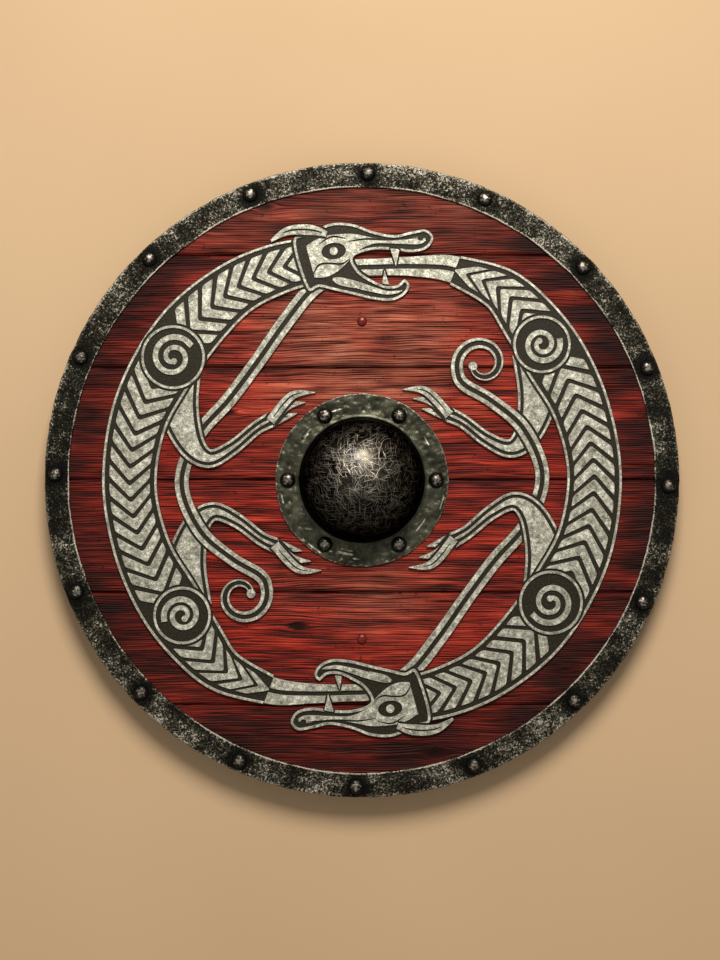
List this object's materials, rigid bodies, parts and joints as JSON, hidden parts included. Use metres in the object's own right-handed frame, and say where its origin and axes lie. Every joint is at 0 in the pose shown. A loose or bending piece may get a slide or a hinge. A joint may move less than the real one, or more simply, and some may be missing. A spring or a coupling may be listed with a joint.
{
  "type": "round shield",
  "caption": "Round plank shield with a riveted steel rim, a hollow domed boss, a carved overlay of two ribbon beasts and a wooden grip behind.",
  "frame": {"origin": "on the surface that the grip rests on, under the middle of the boss", "axes": "+Z out of the boss, away from the hand; +Y towards the top of the face, across the boards; +X to the right of the face, along the boards"},
  "size_m": [0.61, 0.61, 0.0925],
  "materials": {
    "red_stained_wood": "satin, brushed grain",
    "silvered_wood": "satin, silver over charcoal",
    "blackened_steel": "worn black over steel",
    "dark_steel": "dark, finely scratched",
    "bare_wood": "matte",
    "red_painted_steel": "satin"
  },
  "bodies": {
    "root": {"board_1": "red_stained_wood", "board_2": "red_stained_wood", "board_3": "red_stained_wood", "board_4": "red_stained_wood", "board_5": "red_stained_wood", "board_6": "red_stained_wood", "rim": "blackened_steel", "rim_rivet_01": "blackened_steel", "rim_rivet_02": "blackened_steel", "rim_rivet_03": "blackened_steel", "rim_rivet_04": "blackened_steel", "rim_rivet_05": "blackened_steel", "rim_rivet_06": "blackened_steel", "rim_rivet_07": "blackened_steel", "rim_rivet_08": "blackened_steel", "rim_rivet_09": "blackened_steel", "rim_rivet_10": "blackened_steel", "rim_rivet_11": "blackened_steel", "rim_rivet_12": "blackened_steel", "rim_rivet_13": "blackened_steel", "rim_rivet_14": "blackened_steel", "rim_rivet_15": "blackened_steel", "rim_rivet_16": "blackened_steel", "boss": "dark_steel", "boss_rivet_1": "blackened_steel", "boss_rivet_2": "blackened_steel", "boss_rivet_3": "blackened_steel", "boss_rivet_4": "blackened_steel", "boss_rivet_5": "blackened_steel", "boss_rivet_6": "blackened_steel", "carving": "silvered_wood", "grip": "bare_wood", "grip_nail_1": "red_painted_steel", "grip_nail_2": "red_painted_steel"}
  },
  "joints": []
}
